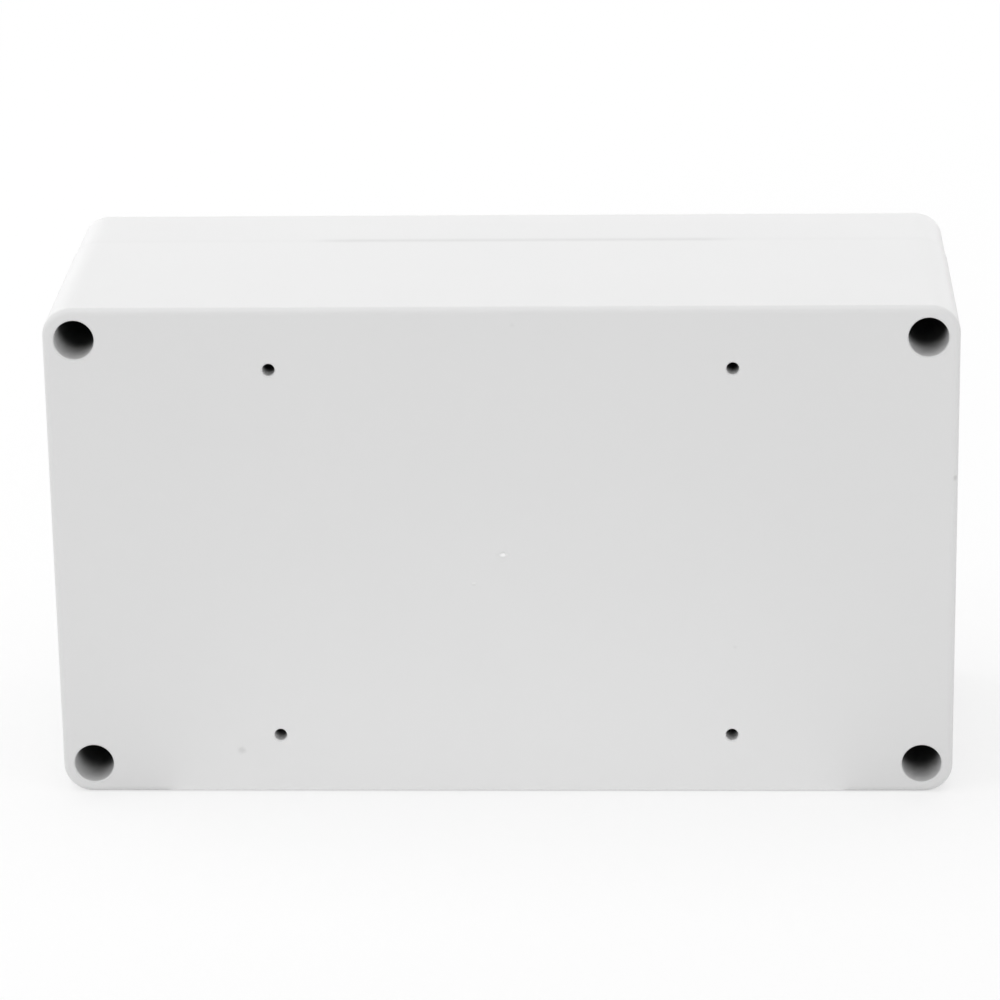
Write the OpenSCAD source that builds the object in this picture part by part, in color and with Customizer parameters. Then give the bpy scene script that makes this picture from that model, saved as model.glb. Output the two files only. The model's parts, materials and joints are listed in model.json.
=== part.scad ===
// Sealed plastic project box: a deep base, a shallower lid with a gasket in its rim,
// and four lid screws that run through the lid into threaded inserts in the corner posts.
//
// Every piece is drawn with the box lying on its back: x along the length, y across the
// width, z from the back face at 0 to the front of the lid. standing() then turns the
// piece so that the box stands on one long side: length along X, back face towards -Y,
// lid towards +Y, resting side on Z = 0, origin under the middle of the box.

/* [Box] */
// Outside length
box_length = 158; // [150:1:220]
// Outside width, the height of the box once it stands on its long side
box_width = 90; // [84:1:140]
// Outside depth, from the back face to the front of the lid
box_depth = 60; // [56:1:90]
// Depth of the lid, from its rim to its front
lid_depth = 18.5; // [16:0.5:22]
// Radius of the four long corners
corner_r = 5; // [4:0.25:7]
// Rounding of the edge round the back face
back_edge_r = 1.2; // [0.5:0.1:1.8]
// Rounding of the edge round the lid's front
lid_edge_r = 1.5; // [0.5:0.1:2.2]
// How far the lid's sides lie inside the base's sides
lid_inset = 0.15; // [0.05:0.05:0.3]
// Thickness of the base's side walls
wall = 2.8; // [2.6:0.1:3.2]
// Thickness of the base's floor, behind the back face
floor_t = 2.8; // [2.2:0.1:3.6]
// Thickness of the lid's front
lid_front_t = 2.8; // [2.2:0.1:3.6]

/* [Corner posts] */
// Distance from the box's sides to the axis of each corner post
post_inset = 5.5; // [5.3:0.1:6.5]
// Diameter of the deep core in the back of each post
core_d = 7; // [6:0.1:7.4]
// Depth of that core, from the back face
core_depth = 26; // [20:0.5:27]
// Thickness of plastic round the core
post_wall = 2; // [1.8:0.1:2.4]
// Bevel at the mouth of every hole in the back face and in the lid's front
mouth_bevel = 0.25; // [0.1:0.05:0.4]

/* [Back screw holes] */
// Spacing of the four small holes along the length
back_hole_span_x = 80; // [60:1:96]
// Spacing of the four small holes across the width
back_hole_span_y = 68; // [56:0.5:68]
// Diameter of the small holes
back_hole_d = 2.2; // [1.8:0.1:2.8]
// Depth of the small holes, from the back face
back_hole_depth = 9; // [6:0.5:10]
// Diameter of the boss inside the box over each small hole
back_boss_d = 6.4; // [5.6:0.1:7]
// Plastic left between the end of a small hole and the top of its boss
back_boss_cap = 1.8; // [1.2:0.1:2.5]

/* [Gate mark] */
// Diameter of the dimple in the middle of the back face, where the moulding was filled
gate_d = 2.4; // [1.6:0.1:3.2]
// Depth of the dimple
gate_depth = 0.15; // [0.1:0.05:0.4]
// Diameter of the gate's stub, which ends level with the back face
gate_stub_d = 0.9; // [0.6:0.1:1.2]

/* [Board supports] */
// Spacing of the board standoffs along the length
board_span_x = 124; // [108:1:126]
// Spacing of the board standoffs across the width
board_span_y = 50; // [40:1:54]
// Height of the board standoffs above the floor
standoff_h = 6; // [4:0.5:9]
// Diameter of the board standoffs
standoff_d = 6; // [5:0.1:7]
// Diameter of the pilot hole in each standoff
pilot_d = 2.5; // [2:0.1:3]
// Depth of the pilot holes
pilot_depth = 7; // [4:0.5:8]
// Gap of the slots that hold a board on edge
card_slot = 2; // [1.6:0.1:2.6]
// Thickness of the ribs on both sides of a slot
rib_t = 1.2; // [1:0.1:1.6]
// How far the ribs stand out from the walls
rib_reach = 1.6; // [1.2:0.1:2]
// Distance between neighbouring slots along the length
slot_pitch_x = 36; // [30:1:38]
// Distance between neighbouring slots across the width
slot_pitch_y = 30; // [20:1:32]
// How far the ribs end below the rim
rib_drop = 5; // [3:0.5:8]

/* [Seal] */
// Thickness of the tongue on the base's rim
tongue_t = 1.2; // [1:0.05:1.4]
// Height of the tongue
tongue_h = 2.2; // [1.6:0.1:2.8]
// Clearance on both sides of the tongue in the lid's groove
tongue_clear = 0.2; // [0.15:0.01:0.3]
// Thickness of the lip inside the groove
lip_t = 1.2; // [1:0.1:1.6]
// Height of the gasket in the closed box
gasket_h = 1.8; // [1.2:0.1:2.2]
// Clearance on both sides of the gasket in the groove
gasket_clear = 0.08; // [0.04:0.01:0.12]
// Radius where a post blends into a wall
seal_fillet = 3; // [2.5:0.1:3.5]
// Width of the shadow gap between the base and the lid
seam_gap = 0.3; // [0.15:0.05:0.5]
// Depth of the shadow gap, from the lid's side
seam_depth = 0.6; // [0.3:0.05:0.8]

/* [Lid screws] */
// Diameter of the screw shank
screw_d = 4; // [3:0.1:4]
// Length of the shank, under the head
screw_length = 16; // [13:0.5:17]
// Diameter of the screw head
head_d = 7; // [6:0.1:7]
// Height of the screw head
head_h = 2.6; // [2:0.1:3]
// Width of the cross recess's arms
cross_w = 1; // [0.8:0.1:1.2]
// Length across the cross recess
cross_span = 4.2; // [3.4:0.1:4.6]
// Depth of the cross recess
cross_depth = 1.5; // [1:0.1:1.7]
// Height of the head's seat above the lid's rim
seat_h = 6.5; // [6.2:0.1:8]
// Radial clearance of the head in its recess
head_clear = 0.3; // [0.2:0.05:0.4]
// Radial clearance of the shank in the lid
shank_clear = 0.25; // [0.15:0.05:0.4]
// Outside diameter of the threaded inserts
insert_d = 5.6; // [5.5:0.1:6.2]
// Length of the threaded inserts
insert_length = 8; // [6:0.5:9]
// Radial clearance of the shank in the inserts
thread_clear = 0.06; // [0.04:0.01:0.1]
// Free depth of the screw hole below the screw's tip
tip_room = 2; // [1:0.5:3]

/* [Hidden] */
$fn = 64;
over = 1;                                   // how far a cutter runs past a face
rim_z = box_depth - lid_depth;              // plane where the base meets the lid
groove_h = tongue_h + gasket_h;
post_r = core_d / 2 + post_wall;
post_x = box_length / 2 - post_inset;
post_y = box_width / 2 - post_inset;
seat_z = rim_z + seat_h;
tip_z = seat_z - screw_length;
inner_x = box_length / 2 - wall;            // inner face of the end walls
inner_y = box_width / 2 - wall;             // inner face of the long walls
slots_x = [-1.5, -0.5, 0.5, 1.5] * slot_pitch_x;
slots_y = [-0.5, 0.5] * slot_pitch_y;
groove = [-tongue_clear, tongue_t + tongue_clear];    // inner and outer side, as growth

// Turns a piece from lying on its back to standing on its long side.
module standing() {
    translate([0, -box_depth / 2, box_width / 2]) rotate([-90, 0, 0]) children();
}

// Repeats the children at the four corners of a rectangle centred on the axis.
module at_corners(span_x, span_y) {
    for (sx = [-1, 1], sy = [-1, 1]) translate([sx * span_x / 2, sy * span_y / 2, 0]) children();
}

// Repeats a flat shape at the four posts, its +x and +y towards the box's corner.
module at_post_quarters() {
    for (sx = [0, 1], sy = [0, 1])
        mirror([sx, 0, 0]) mirror([0, sy, 0]) translate([post_x, post_y]) children();
}

// Rectangle that stands on y = 0 with its two lower corners rounded.
module edge_profile(span, h, edge_r) {
    translate([-span / 2, edge_r]) square([span, h - edge_r]);
    translate([-span / 2 + edge_r, 0]) square([span - 2 * edge_r, h]);
    for (s = [-1, 1]) translate([s * (span / 2 - edge_r), edge_r]) circle(edge_r);
}

// Block with rounded upright corners and a rounded edge round its lower face.
module rounded_block(l, w, h, r, edge_r) {
    rotate([90, 0, 90]) linear_extrude(l - 2 * r, center = true) edge_profile(w, h, edge_r);
    rotate([90, 0, 0]) linear_extrude(w - 2 * r, center = true) edge_profile(l, h, edge_r);
    at_corners(l - 2 * r, w - 2 * r) rotate_extrude()
        intersection() {
            edge_profile(2 * r, h, edge_r);
            square([r, h]);
        }
}

// Rectangle with rounded corners.
module rounded_rectangle(l, w, r) {
    square([l - 2 * r, w], center = true);
    square([l, w - 2 * r], center = true);
    for (sx = [-1, 1], sy = [-1, 1]) translate([sx * (l / 2 - r), sy * (w / 2 - r)]) circle(r);
}

// Plan of what a post and its two fillets take out of the corner of the sealed space.
module post_notch(grow) {
    r = post_r - grow;
    fillet = seal_fillet + grow;
    wall_at = post_inset - wall + grow;
    fillet_out = wall_at - fillet;
    fillet_along = sqrt(pow(r + fillet, 2) - pow(fillet_out, 2));
    circle(r);
    square(wall_at + over);
    for (swap = [[0, 0, 1], [1, -1, 0]]) mirror(swap) difference() {
        polygon([[0, 0], [-fillet_along, fillet_out], [-fillet_along, wall_at + over], [0, wall_at + over]]);
        translate([-fillet_along, fillet_out]) circle(fillet);
    }
}

// Plan of the sealed space, moved outwards by grow: it steps in round the corner posts.
module seal_plan(grow) {
    difference() {
        square([2 * (inner_x + grow), 2 * (inner_y + grow)], center = true);
        at_post_quarters() post_notch(grow);
    }
}

// Ring that follows the seal, between two growths of its plan.
module seal_ring(from, to) {
    difference() {
        seal_plan(to);
        seal_plan(from);
    }
}

// Blind hole up from the back face, with a bevelled mouth.
module back_hole(d, depth) {
    translate([0, 0, -over]) cylinder(h = depth + over, d = d);
    translate([0, 0, -over]) cylinder(h = over + mouth_bevel, r1 = d / 2 + mouth_bevel + over, r2 = d / 2);
}

// Shallow dimple that leaves the stub of the gate standing in its middle.
module gate_mark() {
    bowl_r = (pow(gate_d / 2, 2) + pow(gate_depth, 2)) / (2 * gate_depth);
    difference() {
        translate([0, 0, gate_depth - bowl_r]) sphere(bowl_r);
        cylinder(h = gate_depth + over, d = gate_stub_d);
    }
}

// Two ribs that hold the edge of a board, on the wall at y = 0 and reaching towards +y.
module card_guide() {
    for (s = [-1, 1]) translate([s * (card_slot + rib_t) / 2, 0, 0])
        translate([-rib_t / 2, -wall / 2, floor_t / 2])
            cube([rib_t, wall / 2 + rib_reach, rim_z - rib_drop - floor_t / 2]);
}

module card_guides() {
    for (x = slots_x, end = [0, 180]) rotate(end) translate([x, -inner_y, 0]) card_guide();
    for (y = slots_y, end = [90, 270]) rotate(end) translate([y, -inner_x, 0]) card_guide();
}

module base() {
    color("gainsboro") standing() difference() {
        union() {
            difference() {
                union() {
                    rounded_block(box_length, box_width, rim_z, corner_r, back_edge_r);
                    translate([0, 0, floor_t]) linear_extrude(rim_z + tongue_h - floor_t)
                        seal_plan(tongue_t);
                }
                translate([0, 0, floor_t]) linear_extrude(box_depth) seal_plan(0);
            }
            at_corners(back_hole_span_x, back_hole_span_y)
                translate([0, 0, floor_t / 2])
                    cylinder(h = back_hole_depth + back_boss_cap - floor_t / 2, d = back_boss_d);
            at_corners(board_span_x, board_span_y)
                translate([0, 0, floor_t / 2]) cylinder(h = standoff_h + floor_t / 2, d = standoff_d);
            card_guides();
        }
        at_corners(back_hole_span_x, back_hole_span_y) back_hole(back_hole_d, back_hole_depth);
        at_corners(2 * post_x, 2 * post_y) {
            back_hole(core_d, core_depth);
            translate([0, 0, rim_z - insert_length]) cylinder(h = insert_length + over, d = insert_d);
            translate([0, 0, tip_z - tip_room])
                cylinder(h = rim_z - tip_z + tip_room, d = screw_d + 2 * shank_clear);
        }
        at_corners(board_span_x, board_span_y)
            translate([0, 0, floor_t + standoff_h - pilot_depth]) cylinder(h = pilot_depth + over, d = pilot_d);
        gate_mark();
    }
}

module lid() {
    lid_length = box_length - 2 * lid_inset;
    lid_width = box_width - 2 * lid_inset;
    lid_corner_r = corner_r - lid_inset;
    well_r = head_d / 2 + head_clear;
    color("gainsboro") standing() difference() {
        translate([0, 0, box_depth]) mirror([0, 0, 1])
            rounded_block(lid_length, lid_width, lid_depth, lid_corner_r, lid_edge_r);
        translate([0, 0, rim_z - over]) linear_extrude(lid_depth - lid_front_t + over)
            seal_plan(groove[0] - lip_t);
        translate([0, 0, rim_z - over]) linear_extrude(groove_h + over)
            seal_ring(groove[0], groove[1]);
        translate([0, 0, rim_z - over]) linear_extrude(seam_gap + over) difference() {
            square([box_length + over, box_width + over], center = true);
            rounded_rectangle(lid_length - 2 * seam_depth, lid_width - 2 * seam_depth,
                              lid_corner_r - seam_depth);
        }
        at_corners(2 * post_x, 2 * post_y) {
            translate([0, 0, rim_z - over]) cylinder(h = lid_depth, d = screw_d + 2 * shank_clear);
            translate([0, 0, seat_z]) cylinder(h = lid_depth, r = well_r);
            translate([0, 0, box_depth - mouth_bevel])
                cylinder(h = mouth_bevel + over, r1 = well_r, r2 = well_r + mouth_bevel + over);
        }
    }
}

module gasket() {
    color("dimgray") standing() translate([0, 0, rim_z + tongue_h]) linear_extrude(gasket_h)
        seal_ring(groove[0] + gasket_clear, groove[1] - gasket_clear);
}

// Plain sleeve with a waist between its two gripping bands.
module threaded_inserts() {
    band = insert_length / 3;
    waist_d = insert_d - 0.6;
    color("goldenrod") standing() at_corners(2 * post_x, 2 * post_y)
        translate([0, 0, rim_z - insert_length]) difference() {
            union() {
                cylinder(h = insert_length, d = waist_d);
                for (z = [0, insert_length - band]) translate([0, 0, z]) cylinder(h = band, d = insert_d);
            }
            translate([0, 0, -over]) cylinder(h = insert_length + 2 * over, d = screw_d + 2 * thread_clear);
        }
}

// Cheese head screw with a cross recess, at one post.
module lid_screw(sx, sy) {
    crown_r = head_h / 4;
    point = screw_d / 8;
    color("silver") standing() translate([sx * post_x, sy * post_y, seat_z]) difference() {
        union() {
            translate([0, 0, head_h]) mirror([0, 0, 1]) rotate_extrude() intersection() {
                edge_profile(head_d, head_h, crown_r);
                square([head_d / 2, head_h]);
            }
            translate([0, 0, point - screw_length]) cylinder(h = screw_length - point + over, d = screw_d);
            translate([0, 0, -screw_length]) cylinder(h = point, d1 = screw_d - 2 * point, d2 = screw_d);
        }
        for (turn = [45, 135]) rotate(turn) translate([0, 0, head_h - cross_depth / 2 + over / 2])
            cube([cross_span, cross_w, cross_depth + over], center = true);
    }
}

base();
lid();
gasket();
threaded_inserts();
lid_screw(-1, -1);  // lid_screw_1
lid_screw(1, -1);  // lid_screw_2
lid_screw(1, 1);  // lid_screw_3
lid_screw(-1, 1);  // lid_screw_4
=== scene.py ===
"""Looks for the plastic project box: satin ABS on both halves, a rubber gasket, brass
inserts and steel lid screws with real threads, on a plain pale floor in soft studio light.
Places are in metres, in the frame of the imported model, unless a comment says mm."""

import json
import math

import bmesh
import bpy
from mathutils import Matrix, Vector

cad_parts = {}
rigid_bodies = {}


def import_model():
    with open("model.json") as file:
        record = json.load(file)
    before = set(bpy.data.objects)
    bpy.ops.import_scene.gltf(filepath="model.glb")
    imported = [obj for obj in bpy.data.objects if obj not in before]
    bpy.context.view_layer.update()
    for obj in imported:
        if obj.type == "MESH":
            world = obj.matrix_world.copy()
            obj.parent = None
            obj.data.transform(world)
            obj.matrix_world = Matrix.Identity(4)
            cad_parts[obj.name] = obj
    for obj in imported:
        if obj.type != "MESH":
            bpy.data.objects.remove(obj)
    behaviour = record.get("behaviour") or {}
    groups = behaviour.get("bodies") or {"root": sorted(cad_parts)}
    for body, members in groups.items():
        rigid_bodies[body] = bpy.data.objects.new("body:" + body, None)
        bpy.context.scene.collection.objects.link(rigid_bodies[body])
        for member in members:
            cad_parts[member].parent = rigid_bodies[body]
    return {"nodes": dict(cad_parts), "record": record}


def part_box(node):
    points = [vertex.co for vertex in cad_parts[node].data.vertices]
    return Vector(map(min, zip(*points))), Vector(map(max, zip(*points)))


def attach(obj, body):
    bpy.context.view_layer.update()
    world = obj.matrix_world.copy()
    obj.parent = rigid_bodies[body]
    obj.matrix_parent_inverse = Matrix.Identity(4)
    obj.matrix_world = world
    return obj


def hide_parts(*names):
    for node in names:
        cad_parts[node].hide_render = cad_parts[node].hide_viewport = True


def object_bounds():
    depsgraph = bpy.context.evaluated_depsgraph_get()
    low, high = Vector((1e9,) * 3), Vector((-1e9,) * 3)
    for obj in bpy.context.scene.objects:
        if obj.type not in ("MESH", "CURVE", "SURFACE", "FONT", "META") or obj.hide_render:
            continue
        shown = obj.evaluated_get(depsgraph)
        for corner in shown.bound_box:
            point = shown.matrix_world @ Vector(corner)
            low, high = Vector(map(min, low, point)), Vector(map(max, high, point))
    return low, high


for thing in list(bpy.data.objects):
    bpy.data.objects.remove(thing)
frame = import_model()
cad_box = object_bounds()
MM = 0.001
scene = bpy.context.scene


# ---------------------------------------------------------------- places from the frame
BACK_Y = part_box("base")[0].y                       # plane of the back face
FRONT_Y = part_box("lid")[1].y                       # plane of the lid's front
SEAM_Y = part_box("lid")[0].y                        # plane of the parting seam
HALF_X = cad_box[1].x
HALF_Z = (cad_box[1].z - cad_box[0].z) / 2
MID_Z = (cad_box[1].z + cad_box[0].z) / 2
SCREWS = ["lid_screw_1", "lid_screw_2", "lid_screw_3", "lid_screw_4"]
INSERTS = "threaded_inserts"


def mount(name):
    """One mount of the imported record."""
    return next(m for m in frame["record"]["mounts"] if m["name"] == name)


def axis_of(node):
    """X and Z of a node's middle, which is its axis along Y."""
    low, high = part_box(node)
    return (low.x + high.x) / 2, (low.z + high.z) / 2


# ---------------------------------------------------------------- material building
class Shader:
    """A node material around one Principled shader. Coordinates are object space in mm."""

    def __init__(self, name, **sockets):
        self.material = bpy.data.materials.new(name)
        self.material.use_nodes = True
        self.tree = self.material.node_tree
        self.tree.nodes.clear()
        self.out = self.node("OutputMaterial")
        self.bsdf = self.node("BsdfPrincipled")
        self.link(self.bsdf.outputs[0], self.out.inputs["Surface"])
        for socket, value in sockets.items():
            self.bsdf.inputs[socket.replace("_", " ")].default_value = value
        place = self.node("TexCoord").outputs["Object"]
        self.mm = self.vector("MULTIPLY", place, (1000, 1000, 1000))

    def node(self, kind, **settings):
        made = self.tree.nodes.new("ShaderNode" + kind)
        for key, value in settings.items():
            setattr(made, key, value)
        return made

    def link(self, source, target):
        self.tree.links.new(source, target)

    def put(self, socket, value):
        """Links an output to a socket, or sets a plain value on it."""
        if isinstance(value, bpy.types.NodeSocket):
            self.link(value, socket)
        else:
            socket.default_value = value

    def math(self, operation, a, b=0.0):
        made = self.node("Math", operation=operation)
        self.put(made.inputs[0], a)
        self.put(made.inputs[1], b)
        return made.outputs[0]

    def vector(self, operation, a, b=(0, 0, 0)):
        made = self.node("VectorMath", operation=operation)
        self.put(made.inputs[0], a)
        self.put(made.inputs[1], b)
        return made.outputs["Value" if operation == "LENGTH" else "Vector"]

    def ease(self, value, start, end, low=0.0, high=1.0):
        """Smooth step of value from low at start to high at end."""
        made = self.node("MapRange", interpolation_type="SMOOTHSTEP")
        for index, item in enumerate((value, start, end, low, high)):
            self.put(made.inputs[index], item)
        return made.outputs[0]

    def spread(self, value, low, high):
        """A 0 to 1 value as low to high."""
        made = self.node("MapRange")
        for index, item in enumerate((value, 0.0, 1.0, low, high)):
            self.put(made.inputs[index], item)
        return made.outputs[0]

    def noise(self, scale, detail=2.0, stretch=(1, 1, 1), seed=(0, 0, 0)):
        """Noise with scale features a mm, drawn out by stretch."""
        at = self.vector("MULTIPLY", self.vector("ADD", self.mm, seed), stretch)
        made = self.node("TexNoise")
        self.put(made.inputs["Vector"], at)
        made.inputs["Scale"].default_value = scale
        made.inputs["Detail"].default_value = detail
        return made.outputs["Fac"]

    def tint(self, colour, factor):
        """A colour times a varying factor."""
        made = self.node("VectorMath", operation="SCALE")
        self.put(made.inputs[0], colour)
        self.put(made.inputs["Scale"], factor)
        return made.outputs["Vector"]

    def blend(self, factor, a, b):
        made = self.node("Mix", data_type="RGBA")
        self.put(made.inputs["Factor"], factor)
        self.put(made.inputs["A"], a)
        self.put(made.inputs["B"], b)
        return made.outputs["Result"]

    def bump(self, layers):
        """Stacked bumps: each layer is (height, depth in metres, strength)."""
        normal = None
        for height, depth, strength in layers:
            made = self.node("Bump")
            made.inputs["Distance"].default_value = depth
            made.inputs["Strength"].default_value = strength
            self.put(made.inputs["Height"], height)
            if normal is not None:
                self.link(normal, made.inputs["Normal"])
            normal = made.outputs["Normal"]
        self.link(normal, self.bsdf.inputs["Normal"])


# ---------------------------------------------------------------- the two plastic halves
# Lengths are mm, but a bump's depth is metres.
GREY = (0.70, 0.70, 0.70)
# stains and grime, and also painted shade: the seam's shadow and the underside of a blemish
DIRT_AND_SHADE = (0.09, 0.085, 0.08, 1)
SHADE = (0.045, 0.045, 0.046, 1)                   # painted shade deep inside a hole
WHITE = (1, 1, 1, 1)
ROUGH = (0.40, 0.47)
POLISHED = (0.4, 2.2)                              # reach of the polish from an outer edge
EDGE_GLOSS, SCUFF_GLOSS = 0.06, 0.09               # taken off the roughness
SPOT_DEPTH = 0.6                                   # how far into the face a spot is painted
SEAM_SHADOW, GRIME_FAINT = 0.13, 0.02                    # painted shadow on the dark stretch of the seam, and faint grime all round
TOP_SKIN = 0.5                                     # the top wall, for the seam's dark stretch
PIN_EDGE = 0.12                                    # half width of an ejector mark's step
PIN_SKIN = 0.6                                     # the inner floor, for the ejector marks
PEEL_DEPTH, SPARK_DEPTH, SCUFF_DEPTH, PIN_DEPTH = 0.00002, 0.000010, 0.000006, -0.00008


class Plastic(Shader):
    """Satin ABS from a spark-finished mould, with handling marks. seed shifts its noises."""

    def __init__(self, name, grey, seed):
        super().__init__(name, IOR=1.49, Specular_IOR_Level=0.28)
        self.seed = seed
        split = self.node("SeparateXYZ")
        self.link(self.mm, split.inputs[0])
        self.x, self.y, z = split.outputs
        self.up = self.math("SUBTRACT", z, MID_Z / MM)
        cloud = self.grain(0.022, 3)
        fleck = self.grain(2.6, 3)
        tone = self.math("ADD", self.spread(cloud, 0.988, 1.012),
                         self.spread(fleck, -0.006, 0.006))
        self.ragged = self.spread(self.grain(1.7, 3), -0.35, 0.35)
        self.colour = self.tint(grey, tone)

        # Light scuffs: long thin noise, only where a slower noise lets it through.
        hair = self.ease(self.grain(1.1, 4, (0.12, 1, 1)), 0.64, 0.72)
        where = self.ease(self.grain(0.05, 2), 0.52, 0.66)
        scuff = self.math("MULTIPLY", hair, where)
        rough = self.spread(self.grain(0.09, 4), *ROUGH)
        rough = self.math("SUBTRACT", rough, self.math("MULTIPLY", self.edge(), EDGE_GLOSS))
        rough = self.math("SUBTRACT", rough, self.math("MULTIPLY", scuff, SCUFF_GLOSS))
        self.link(rough, self.bsdf.inputs["Roughness"])
        self.layers = [(self.grain(0.28, 2), PEEL_DEPTH, 0.5),
                       (self.grain(3.6, 4), SPARK_DEPTH, 0.7),
                       (scuff, SCUFF_DEPTH, 0.4)]

    def grain(self, scale, detail, stretch=(1, 1, 1)):
        return self.noise(scale, detail, stretch, self.seed)

    def from_plane(self, value, level):
        """Distance of a coordinate from a level, both ways."""
        return self.math("ABSOLUTE", self.math("SUBTRACT", value, level))

    def edge(self):
        """1 on the moulding's outer edges, which handling has polished a little: there, two of
        the three distances from the box's sides are small."""
        side = self.math("SUBTRACT", HALF_X / MM, self.math("ABSOLUTE", self.x))
        rise = self.math("SUBTRACT", HALF_Z / MM, self.math("ABSOLUTE", self.up))
        depth = self.math("SUBTRACT", FRONT_Y / MM, self.math("ABSOLUTE", self.y))
        least = self.math("MINIMUM", side, self.math("MINIMUM", rise, depth))
        most = self.math("MAXIMUM", side, self.math("MAXIMUM", rise, depth))
        total = self.math("ADD", self.math("ADD", side, rise), depth)
        second = self.math("SUBTRACT", total, self.math("ADD", least, most))
        return self.ease(second, *POLISHED, 1.0, 0.0)

    def spot(self, at_x, at_z, half_x, half_z):
        """A soft ragged spot on the back face, 1 in its middle."""
        offset = self.vector("SUBTRACT", self.mm, (at_x, BACK_Y / MM, at_z))
        reach = self.vector("LENGTH",
                            self.vector("DIVIDE", offset, (half_x, SPOT_DEPTH, half_z)))
        return self.ease(self.math("ADD", reach, self.ragged), 0.1, 1.3, 1.0, 0.0)

    def paint(self, amount, colour):
        """Lays a colour over what is there, by amount."""
        self.colour = self.blend(amount, self.colour, colour)

    def paint_spots(self, spots, colour):
        for *place, strength in spots:
            self.paint(self.math("MULTIPLY", self.spot(*place), strength), colour)

    def dent_spots(self, spots):
        """Tiny raised or sunken spots, with a height for a strength."""
        for *place, height in spots:
            self.layers.append((self.spot(*place), height, 1.0))

    def from_axes(self, at_x, at_z):
        """Distance from the nearest of four axes along Y, mirrored both ways."""
        across = self.math("SUBTRACT", self.math("ABSOLUTE", self.x), at_x)
        along = self.math("SUBTRACT", self.math("ABSOLUTE", self.up), at_z)
        return self.math("SQRT", self.math("ADD", self.math("MULTIPLY", across, across),
                                           self.math("MULTIPLY", along, along)))

    def shade_holes(self, face_y, holes):
        """Paints shade into holes from the face at face_y, darker with depth. Each is
        (x, z, radius, first depth, last depth, depth of its floor, darkness)."""
        into = self.from_plane(self.y, face_y / MM)
        for at_x, at_z, radius, first, last, floor, dark in holes:
            inside = self.math("MULTIPLY",
                               self.math("LESS_THAN", self.from_axes(at_x, at_z), radius),
                               self.math("LESS_THAN", into, floor))
            self.paint(self.math("MULTIPLY", inside, self.ease(into, first, last, 0.0, dark)),
                       SHADE)

    def seam_grime_and_shadow(self, first_y, last_y, first_x, last_x):
        """A faint line of grime round the seam, with a painted shadow of the seam's gap on top
        between two places in X.
        """
        off = self.from_plane(self.y, (first_y + last_y) / 2)
        line = self.ease(off, 0.0, (last_y - first_y) / 2, 1.0, 0.0)
        along = self.from_plane(self.x, (first_x + last_x) / 2)
        beyond = self.math("SUBTRACT", along, (last_x - first_x) / 2)
        length = self.ease(beyond, -5.0, 4.0, 1.0, 0.0)
        top = self.math("GREATER_THAN", self.up, HALF_Z / MM - TOP_SKIN)
        # painted shadow of the seam's gap, on the top wall between two places in X
        dark = self.math("MULTIPLY", self.math("MULTIPLY", length, top), SEAM_SHADOW)
        amount = self.math("MULTIPLY", self.math("ADD", GRIME_FAINT, dark),
                           self.spread(self.grain(0.5, 3), 0.7, 1.3))
        self.paint(self.math("MULTIPLY", line, amount), DIRT_AND_SHADE)

    def mark_pins(self, floor_y, radius, places):
        """Round marks of the mould's ejector pins on the inner floor at floor_y."""
        level = self.math("LESS_THAN", self.from_plane(self.y, floor_y), PIN_SKIN)
        disc = 0.0
        for place in places:
            mark = self.ease(self.from_axes(*place), radius - PIN_EDGE, radius + PIN_EDGE,
                             1.0, 0.0)
            disc = self.math("MAXIMUM", disc, mark)
        self.layers.append((self.math("MULTIPLY", disc, level), PIN_DEPTH, 1.0))

    def finish(self):
        self.link(self.colour, self.bsdf.inputs["Base Color"])
        self.bump(self.layers)
        return self.material


def hole(name, *shading):
    """A hole pattern of the record as shade_holes() takes it, with room for its bevel."""
    dims = mount(name)["dims"]
    return (dims["spacing_x_mm"] / 2, dims["spacing_y_mm"] / 2, dims["hole_r_mm"] + 0.4,
            *shading)


STAINS_AND_SHADE = [                                         # x, z, half width, half height, strength
    (-47.0, 8.1, 0.85, 0.75, 0.17),
    (78.6, 59.0, 0.55, 0.60, 0.30),
    (40.5, 27.7, 0.45, 0.40, 0.06),
    (2.2, 87.0, 0.50, 0.40, 0.05),
    # painted shade on the underside of the small raised blemish below the gate
    (-5.2, 39.4, 0.42, 0.20, 0.06),
]
PALE = [
    (0.0, MID_Z / MM, 0.66, 0.40, 0.65),           # painted highlight on the broken-off gate
    # painted highlight on the upper side of the same blemish
    (-5.2, 39.8, 0.42, 0.24, 0.22),
]
DENTS = [(-5.2, 39.7, 0.50, 0.30, 0.00004)]        # the same, with a height in metres
# depths and darkness of the painted shade in the back face's holes and the lid's wells
HOLES = [hole("corner_holes", 3.5, 10.0, 26.5, 0.93),
         hole("back_screw_holes", 1.5, 4.5, 9.5, 0.93)]
WELL_X, WELL_Z = axis_of(SCREWS[1])
WELLS = [(WELL_X / MM, (WELL_Z - MID_Z) / MM, 4.2, 1.5, 9.0, 9.7, 0.55)]
SEAM = (SEAM_Y / MM - 1.5, SEAM_Y / MM + 2.5, -33.0, 39.0)  # first and last y, then x
WALL = 2.8
PIN_R = 2.5
BASE_PINS = ((22, 18), (50, 12))                   # x and z from the middle, mirrored both ways
LID_PINS = ((0, 22), (32, 30), (58, 12))


def base_plastic():
    s = Plastic("base_abs", GREY, (0, 0, 0))
    # stains, and painted shade under the blemish
    s.paint_spots(STAINS_AND_SHADE, DIRT_AND_SHADE)
    # painted highlights on the gate and the blemish
    s.paint_spots(PALE, WHITE)
    # painted shade deep in the corner and screw holes
    s.shade_holes(BACK_Y, HOLES)
    # faint grime round the seam, and its painted shadow on top
    s.seam_grime_and_shadow(*SEAM)
    s.dent_spots(DENTS)
    s.mark_pins(BACK_Y / MM + WALL, PIN_R, BASE_PINS)
    return s.finish()


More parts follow.
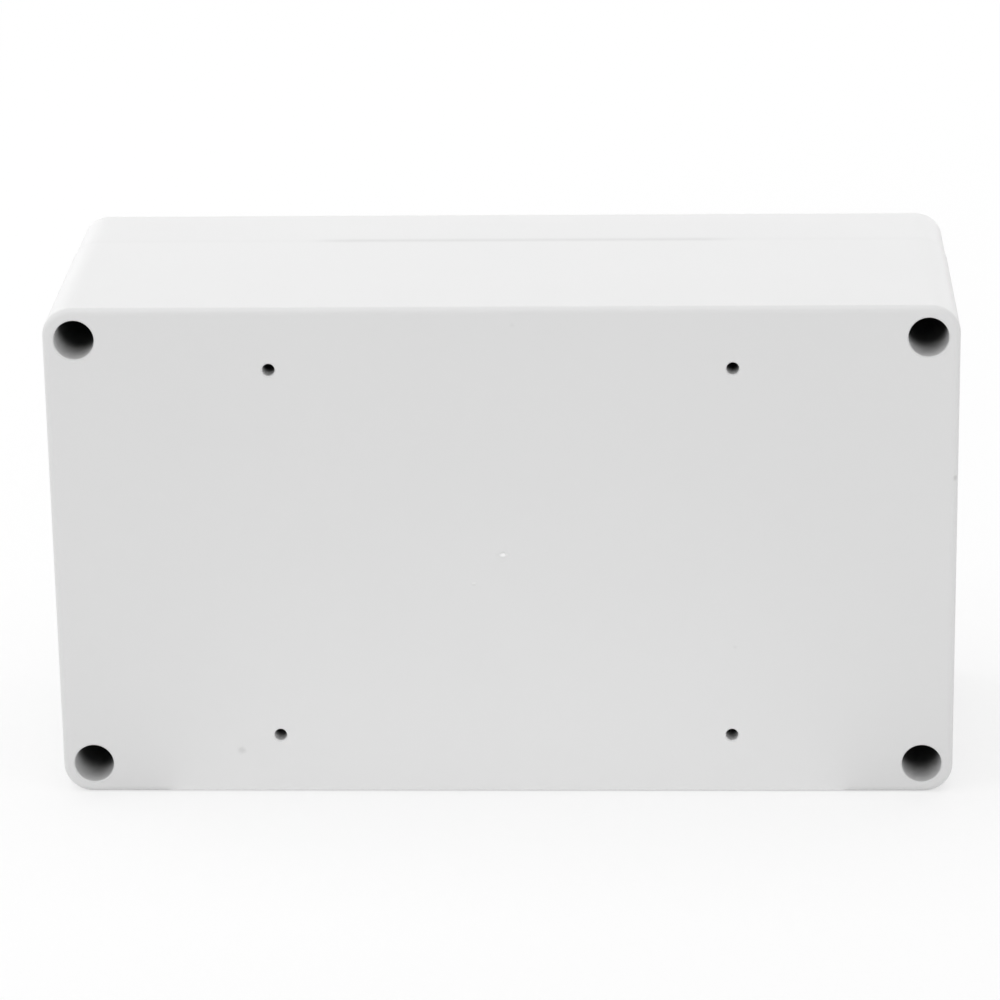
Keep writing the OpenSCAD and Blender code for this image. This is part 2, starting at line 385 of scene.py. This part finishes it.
def lid_plastic():
    s = Plastic("lid_abs", GREY, (310, 70, 150))
    # painted shade deep in the screw wells
    s.shade_holes(FRONT_Y, WELLS)
    # faint grime round the seam, and its painted shadow on top
    s.seam_grime_and_shadow(*SEAM)
    s.mark_pins(FRONT_Y / MM - WALL, PIN_R, LID_PINS)
    return s.finish()


# ---------------------------------------------------------------- rubber, brass and steel
RUBBER, RUBBER_BLOOM = (0.045, 0.046, 0.048), (0.16, 0.16, 0.155, 1)
BRASS, BRASS_DULL = (0.80, 0.60, 0.28, 1), (0.52, 0.37, 0.17, 1)
STEEL, STEEL_DULL = (0.57, 0.58, 0.59, 1), (0.38, 0.39, 0.40, 1)
METAL_ROUGH, METAL_SPREAD = 0.24, 0.16


def rubber():
    s = Shader("gasket_epdm", IOR=1.5, Specular_IOR_Level=0.3)
    cloud = s.noise(0.15, 4)
    bloom = s.ease(s.noise(0.6, 5, seed=(9, 4, 2)), 0.55, 0.75)
    colour = s.tint(RUBBER, s.spread(cloud, 0.85, 1.2))
    s.link(s.blend(s.math("MULTIPLY", bloom, 0.25), colour, RUBBER_BLOOM),
           s.bsdf.inputs["Base Color"])
    s.link(s.spread(cloud, 0.58, 0.74), s.bsdf.inputs["Roughness"])
    s.bump([(s.noise(6, 3), 0.00002, 0.5)])
    return s.material


def metal(name, colour, dull, rings):
    """Turned metal: fine rings round the piece's own axis, patches of duller surface."""
    s = Shader(name, Metallic=1.0)
    patch = s.ease(s.noise(0.45, 4), 0.45, 0.7)
    s.link(s.blend(s.math("MULTIPLY", patch, 0.6), colour, dull), s.bsdf.inputs["Base Color"])
    s.link(s.spread(s.noise(1.3, 5), METAL_ROUGH, METAL_ROUGH + METAL_SPREAD),
           s.bsdf.inputs["Roughness"])
    wave = s.node("TexWave", wave_type="RINGS", rings_direction="Z")
    s.put(wave.inputs["Vector"], s.mm)
    wave.inputs["Scale"].default_value = rings
    wave.inputs["Distortion"].default_value = 0.6
    wave.inputs["Detail"].default_value = 2
    s.bump([(wave.outputs["Fac"], 0.000004, 0.5), (s.noise(9, 3), 0.000006, 0.4)])
    return s.material


def assign(obj, material):
    obj.data.materials.clear()
    obj.data.materials.append(material)


def repaint(node, material):
    for slot in frame["nodes"][node].material_slots:
        slot.material = material


repaint("base", base_plastic())
repaint("lid", lid_plastic())
repaint("gasket", rubber())
brass = metal("insert_brass_turned", BRASS, BRASS_DULL, 3.0)
steel = metal("screw_steel_zinc", STEEL, STEEL_DULL, 4.0)


# ---------------------------------------------------------------- threads, screws and inserts
# All lengths here are mm. A screw is made along Z with its seat at z = 0.
THREAD_PITCH = 0.7                                 # M4 coarse thread
CREST, ROOT = 2.0, 1.57                            # the screw's radii
NUT_CREST, NUT_ROOT = 2.06, 2.36                   # the insert's radii
FLANKS = ((0.0, 1.0), (0.125, 1.0), (0.4375, 0.0), (0.6875, 0.0))  # share of a turn, of the depth
ROWS = len(FLANKS)
SHARP, INSERT_SHARP = 32, 28                       # degrees from which an edge is drawn sharp
WELD_GAP, DUST = 0.002, 0.0005                     # what the clean-up joins and drops

SCREW_SIDES = 48
TIP_CUT, TIP_SLOPE = 0.12, 0.9                     # chamfer of the screw's tip
RUN_OUT, RUN_LENGTH = -1.3, 0.9                    # where the thread fades into the neck
NECK_R, NECK_Z = 1.75, -0.2
HEAD_H = 2.6
HEAD_CHAMFER = 0.12
CROWN_R, CROWN_DROP = 0.65, 0.75                   # rounding of the head's upper edge
FACE_R = 1.2                                       # flat middle of the head, inside the recess
RECESS = (                                         # z above the head, arm, width, inner corner
    (0.4, 2.45, 1.16, 0.62),
    (-0.35, 2.0, 1.0, 0.50),
    (-1.25, 1.2, 0.82, 0.32),
    (-1.8, 0.55, 0.42, 0.10),
)
ARM_TAPER = 0.86                                   # width of an arm's end over its root
MOUTH_ANGLE, MOUTH_DEPTH, MOUTH_R, MOUTH_BEVEL = 50, 0.2, 2.7, 0.07

INSERT_SIDES = 64
KNURL = 0.16                                       # depth of a groove of the knurl
WAIST = 0.32                                       # depth of the waist under the bands
LEAD_SLOPE = 1.2                                   # countersink of the inner thread's ends


def ring(bm, radius, z, count):
    """A level ring of vertices; radius is a number or a function of the vertex's number."""
    made = []
    for i in range(count):
        angle = 2 * math.pi * i / count
        r = radius(i) if callable(radius) else radius
        made.append(bm.verts.new((r * math.cos(angle), r * math.sin(angle), z)))
    return made


def skin(bm, rings):
    """Quads between each ring and the next."""
    for low, high in zip(rings, rings[1:]):
        count = len(low)
        for i in range(count):
            j = (i + 1) % count
            bm.faces.new((low[i], low[j], high[j], high[i]))


def thread(bm, start, end, count, radius):
    """A helical wall from z = start to z = end, with radius(z, share) at share of the thread's
    depth. At both ends every share gives the same radius, so that the ends are level rings."""
    turns = math.ceil((end - start) / THREAD_PITCH) + 1
    columns = []
    for i in range(count):
        angle = 2 * math.pi * i / count
        column = []
        for row in range(ROWS * (turns + 1) + 1):
            place, share = FLANKS[row % ROWS]
            z = start + THREAD_PITCH * (row // ROWS - 1 + place + i / count)
            z = min(max(z, start), end)
            r = radius(z, share)
            column.append(bm.verts.new((r * math.cos(angle), r * math.sin(angle), z)))
        columns.append(column)
    for i in range(count):
        left = columns[i]
        right = columns[i + 1] if i + 1 < count else columns[0][ROWS:]
        for row in range(ROWS * turns):
            bm.faces.new((left[row], right[row], right[row + 1], left[row + 1]))


def mesh_of(bm, name, sharp=SHARP):
    """Welds a bmesh into a clean closed mesh, smooth except at its sharp edges."""
    bmesh.ops.remove_doubles(bm, verts=bm.verts, dist=WELD_GAP)
    bmesh.ops.dissolve_degenerate(bm, dist=DUST, edges=bm.edges)
    bmesh.ops.delete(bm, geom=[v for v in bm.verts if not v.link_faces], context="VERTS")
    bmesh.ops.recalc_face_normals(bm, faces=bm.faces)
    made = bpy.data.meshes.new(name)
    bm.to_mesh(made)
    bm.free()
    made.shade_smooth()
    made.set_sharp_from_angle(angle=math.radians(sharp))
    return made


def screw_blank(length, head_r):
    """M4 cheese head screw without its recess: rolled thread with a run-out, chamfered tip,
    crowned head."""
    def radius(z, share):
        r = ROOT + (CREST - ROOT) * share
        r = min(r, ROOT - TIP_CUT + (z + length) * TIP_SLOPE)
        fade = min(max((z - RUN_OUT) / RUN_LENGTH, 0.0), 1.0)
        return r + (NECK_R - r) * fade

    bm = bmesh.new()
    thread(bm, -length, NECK_Z, SCREW_SIDES, radius)
    bm.faces.new(ring(bm, radius(-length, 0), -length, SCREW_SIDES))
    centre_r, centre_z = head_r - CROWN_R, HEAD_H - CROWN_DROP
    crown = [(centre_r + CROWN_R * math.cos(a), centre_z + CROWN_R * math.sin(a))
             for a in (math.radians(15 * k) for k in range(6))]
    profile = [
        (NECK_R, NECK_Z), (NECK_R + 0.06, -0.05), (NECK_R + 0.2, 0.0),
        (head_r - HEAD_CHAMFER, 0.0), (head_r, HEAD_CHAMFER), *crown,
        (centre_r, HEAD_H - 0.085), (2.2, HEAD_H - 0.03), (FACE_R, HEAD_H - 0.005),
    ]
    skin(bm, [ring(bm, r, z, SCREW_SIDES) for r, z in profile])
    bm.faces.new(ring(bm, *profile[-1], SCREW_SIDES))
    return bpy.data.objects.new("blank", mesh_of(bm, "blank"))


def recess_cutter():
    """Four tapered arms with bevelled inner corners, lofted down to a small core."""
    bm = bmesh.new()
    levels = []
    for z, span, width, corner in RECESS:
        half = width / 2
        level = []
        for quarter in range(4):
            turn = Matrix.Rotation(math.radians(90 * quarter + 45), 3, "Z")
            for x, y in ((half + corner, -half), (span, -half * ARM_TAPER),
                         (span, half * ARM_TAPER), (half + corner, half)):
                level.append(bm.verts.new(turn @ Vector((x, y, HEAD_H + z))))
        levels.append(level)
    skin(bm, levels)
    bm.faces.new(levels[0])
    bm.faces.new(levels[-1])
    bmesh.ops.recalc_face_normals(bm, faces=bm.faces)
    made = bpy.data.meshes.new("cutter")
    bm.to_mesh(made)
    bm.free()
    return bpy.data.objects.new("cutter", made)


def screw_mesh(length, head_r):
    """The screw's blank less its cross recess, with a pressed edge round the recess's mouth."""
    body, cutter = screw_blank(length, head_r), recess_cutter()
    for thing in (body, cutter):
        scene.collection.objects.link(thing)
    cut = body.modifiers.new("recess", "BOOLEAN")
    cut.operation, cut.solver, cut.object = "DIFFERENCE", "EXACT", cutter
    bpy.context.view_layer.update()
    result = bpy.data.meshes.new_from_object(
        body.evaluated_get(bpy.context.evaluated_depsgraph_get()))
    for thing in (body, cutter):
        bpy.data.objects.remove(thing)

    def at_mouth(vertex):
        return vertex.co.z > HEAD_H - MOUTH_DEPTH and vertex.co.xy.length < MOUTH_R

    bm = bmesh.new()
    bm.from_mesh(result)
    rim = [e for e in bm.edges
           if e.is_manifold and e.calc_face_angle() > math.radians(MOUTH_ANGLE)
           and all(at_mouth(v) for v in e.verts)]
    bmesh.ops.bevel(bm, geom=rim, offset=MOUTH_BEVEL, segments=2, profile=0.6, affect="EDGES",
                    clamp_overlap=True)
    return mesh_of(bm, "m4_screw")


def insert_mesh(length, outer):
    """Brass insert along Z from z = 0: two knurled bands, a waist, and a thread inside."""
    band = length / 3
    waist = outer - WAIST

    def knurled(i):
        return outer - (KNURL if i % 2 else 0.0)

    def radius(z, share):
        r = NUT_ROOT + (NUT_CREST - NUT_ROOT) * share
        return max(r, NUT_ROOT - min(z, length - z) * LEAD_SLOPE)

    bm = bmesh.new()
    thread(bm, 0, length, INSERT_SIDES, radius)
    profile = [
        (NUT_ROOT, 0), (waist, 0), (knurled, 0.3), (knurled, band - 0.15),
        (waist, band), (waist, length - band),
        (knurled, length - band + 0.15), (knurled, length - 0.3),
        (outer - 0.14, length - 0.28), (outer - 0.04, length - 0.16),
        (outer - 0.04, length - 0.05), (outer - 0.09, length), (NUT_ROOT, length),
    ]
    skin(bm, [ring(bm, r, z, INSERT_SIDES) for r, z in profile])
    return mesh_of(bm, "insert", INSERT_SHARP)


def along_y(node_x, y, node_z, turn):
    """Places a piece made along Z so that it points along +Y, turned about its own axis."""
    return (Matrix.Translation((node_x, y, node_z)) @ Matrix.Rotation(math.radians(-90), 4, "X")
            @ Matrix.Rotation(math.radians(turn), 4, "Z"))


def place(name, mesh, matrix, material, body, node, slot):
    """One piece that stands for a CAD node, with its size in the mesh and not the object."""
    data = mesh.copy()
    data.transform(Matrix.Scale(MM, 4))
    data.name = name
    obj = bpy.data.objects.new(name, data)
    scene.collection.objects.link(obj)
    obj.matrix_world = matrix
    assign(obj, material)
    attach(obj, body)
    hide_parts(node)


TURNS = (12, 64, 31, 143)                          # degrees, as a hand leaves four screws
low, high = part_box(SCREWS[0])
nut_low, nut_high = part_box(INSERTS)
screw = screw_mesh((high.y - low.y) / MM - HEAD_H, (high.x - low.x) / 2 / MM)
insert = insert_mesh((nut_high.y - nut_low.y) / MM,
                     (nut_high.x - max(axis_of(node)[0] for node in SCREWS)) / MM)
for number, (node, turn) in enumerate(zip(SCREWS, TURNS), 1):
    x, z = axis_of(node)
    place(f"m4_screw_{number}", screw, along_y(x, high.y - HEAD_H * MM, z, turn), steel,
          f"screw_{number}", node, "screw_steel")
    place(f"brass_insert_{number}", insert, along_y(x, nut_low.y, z, 0), brass,
          "base", INSERTS, "insert_brass")

# The gasket's cord keeps its solid and gets rounded edges. Sizes in metres.
weld = frame["nodes"]["gasket"].modifiers.new("weld", "WELD")
weld.merge_threshold = 0.000002
soft = frame["nodes"]["gasket"].modifiers.new("rounded", "BEVEL")
soft.width, soft.segments = 0.0003, 3
soft.limit_method, soft.angle_limit = "ANGLE", math.radians(50)


# ---------------------------------------------------------------- camera
CAMERA_AT = Vector((0.03133, -0.76534, 0.31663))
YAW, TIP, ROLL = -0.04307, 0.34131, -0.01654       # radians
LENS, SENSOR = 161.77, 36
CLIP = (0.01, 60)


def make_camera():
    """Camera of the photograph: turned by YAW, tipped down by TIP, with a slight ROLL."""
    ahead = Vector((math.sin(YAW) * math.cos(TIP), math.cos(YAW) * math.cos(TIP),
                    -math.sin(TIP)))
    level = Vector((math.cos(YAW), -math.sin(YAW), 0))
    above = level.cross(ahead)
    right = math.cos(ROLL) * level + math.sin(ROLL) * above
    up = math.cos(ROLL) * above - math.sin(ROLL) * level
    data = bpy.data.cameras.new("camera")
    data.lens, data.sensor_width = LENS, SENSOR
    data.clip_start, data.clip_end = CLIP
    camera = bpy.data.objects.new("camera", data)
    camera.matrix_world = Matrix.Translation(CAMERA_AT) @ Matrix(
        (right, up, -ahead)).transposed().to_4x4()
    scene.collection.objects.link(camera)
    scene.camera = camera


# ---------------------------------------------------------------- floor, world and lamps
FLOOR_SIDE = 24
FLOOR_WHITE = 0.92
SHADOW_REACH = (0.16, 0.60)                        # where the lit floor fades into white
SHADOW_VEIL = 0.6                                  # how white the floor is already at the box
DOME = 0.50


def seen_ray(nodes, links):
    """1 for rays that the camera, a gloss or a clear surface sends, else 0."""
    path = nodes.new("ShaderNodeLightPath")
    total = path.outputs["Is Camera Ray"]
    for name in ("Is Glossy Ray", "Is Transmission Ray"):
        most = nodes.new("ShaderNodeMath")
        most.operation = "MAXIMUM"
        links.new(total, most.inputs[0])
        links.new(path.outputs[name], most.inputs[1])
        total = most.outputs[0]
    return total


def make_floor():
    """White paper: it shows the shadow near the box and fades into plain white further out."""
    bpy.ops.mesh.primitive_plane_add(size=FLOOR_SIDE)
    floor = bpy.context.object
    floor.name = "floor"
    material = bpy.data.materials.new("floor_paper")
    material.use_nodes = True
    nodes, links = material.node_tree.nodes, material.node_tree.links
    nodes.clear()
    out = nodes.new("ShaderNodeOutputMaterial")
    lit = nodes.new("ShaderNodeBsdfDiffuse")
    lit.inputs["Color"].default_value = (FLOOR_WHITE, FLOOR_WHITE, FLOOR_WHITE, 1)
    glow = nodes.new("ShaderNodeEmission")
    glow.inputs["Color"].default_value = WHITE
    place = nodes.new("ShaderNodeTexCoord")
    length = nodes.new("ShaderNodeVectorMath")
    length.operation = "LENGTH"
    links.new(place.outputs["Object"], length.inputs[0])
    fade = nodes.new("ShaderNodeMapRange")
    fade.interpolation_type = "SMOOTHSTEP"
    links.new(length.outputs["Value"], fade.inputs[0])
    fade.inputs[1].default_value, fade.inputs[2].default_value = SHADOW_REACH
    fade.inputs[3].default_value = SHADOW_VEIL
    seen = nodes.new("ShaderNodeMath")
    seen.operation = "MULTIPLY"
    links.new(seen_ray(nodes, links), seen.inputs[0])
    links.new(fade.outputs[0], seen.inputs[1])
    mix = nodes.new("ShaderNodeMixShader")
    links.new(seen.outputs[0], mix.inputs[0])
    links.new(lit.outputs[0], mix.inputs[1])
    links.new(glow.outputs[0], mix.inputs[2])
    links.new(mix.outputs[0], out.inputs["Surface"])
    assign(floor, material)


def make_world(strength):
    """A white surround that lights the box with a lower strength than it shows."""
    world = bpy.data.worlds.new("studio")
    scene.world = world
    world.use_nodes = True
    nodes, links = world.node_tree.nodes, world.node_tree.links
    nodes.clear()
    out = nodes.new("ShaderNodeOutputWorld")
    dome = nodes.new("ShaderNodeBackground")
    dome.inputs["Strength"].default_value = strength
    white = nodes.new("ShaderNodeBackground")
    white.inputs["Strength"].default_value = 1
    for background in (dome, white):
        background.inputs["Color"].default_value = WHITE
    mix = nodes.new("ShaderNodeMixShader")
    links.new(seen_ray(nodes, links), mix.inputs[0])
    links.new(dome.outputs[0], mix.inputs[1])
    links.new(white.outputs[0], mix.inputs[2])
    links.new(mix.outputs[0], out.inputs["Surface"])


def softbox(name, at, towards, width, height, power):
    """A soft lamp that isn't itself in the picture."""
    data = bpy.data.lights.new(name, "AREA")
    data.shape = "RECTANGLE"
    data.size, data.size_y = width, height
    data.energy = power
    lamp = bpy.data.objects.new(name, data)
    lamp.location = at
    lamp.rotation_euler = (Vector(towards) - Vector(at)).to_track_quat("-Z", "Y").to_euler()
    lamp.visible_camera = False
    scene.collection.objects.link(lamp)


MIDDLE = (0, 0, MID_Z)
PAD_Y = BACK_Y - 0.0495                            # a low bounce card in front of the box
LAMPS = [                                          # name, place, aim, width, height, power
    ("left", (-0.95, -0.1, 0.56), MIDDLE, 1.9, 1.1, 4.6),
    ("right", (0.75, -0.62, 0.30), MIDDLE, 1.2, 0.8, 1.75),
    ("top", (0, 0, 1.1), MIDDLE, 1.6, 1.2, 6.3),
    ("front", (0, -0.9, 0.10), MIDDLE, 1.4, 0.2, 0.82),
    ("rear", (0, 0.9, 0.27), MIDDLE, 2.0, 0.5, 3.2),
    ("table", (0, PAD_Y, 0.0002), (0, PAD_Y, 1), 0.12, 0.101, 0.0090),
]
make_camera()
make_floor()
make_world(DOME)
for lamp in LAMPS:
    softbox(*lamp)
scene.view_settings.view_transform = "Standard"
